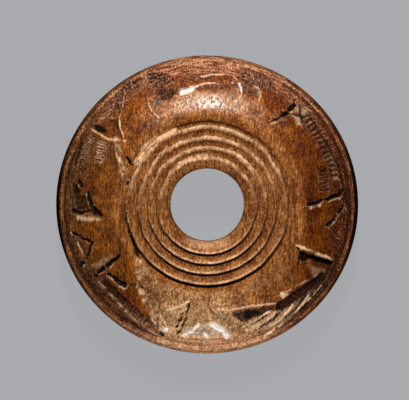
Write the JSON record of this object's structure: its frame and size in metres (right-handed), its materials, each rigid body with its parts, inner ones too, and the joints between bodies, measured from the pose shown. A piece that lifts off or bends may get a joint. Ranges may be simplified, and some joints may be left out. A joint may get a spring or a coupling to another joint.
{
  "type": "spindle whorl",
  "caption": "Low domed disc of bone with a round bore, stepped rings about it, and notches, chevrons and combed channels carved round the sloping band inside the rim.",
  "frame": {"origin": "centre of the bore in the plane of the flat underside", "axes": "+Z along the bore out of the carved face, +Y along the grain of the bone, +X across the grain"},
  "size_m": [0.028, 0.0276, 0.0075],
  "materials": {
    "bone": "aged bone, polished by handling, orange-brown patina"
  },
  "bodies": {
    "root": {"whorl": "bone"}
  },
  "joints": []
}
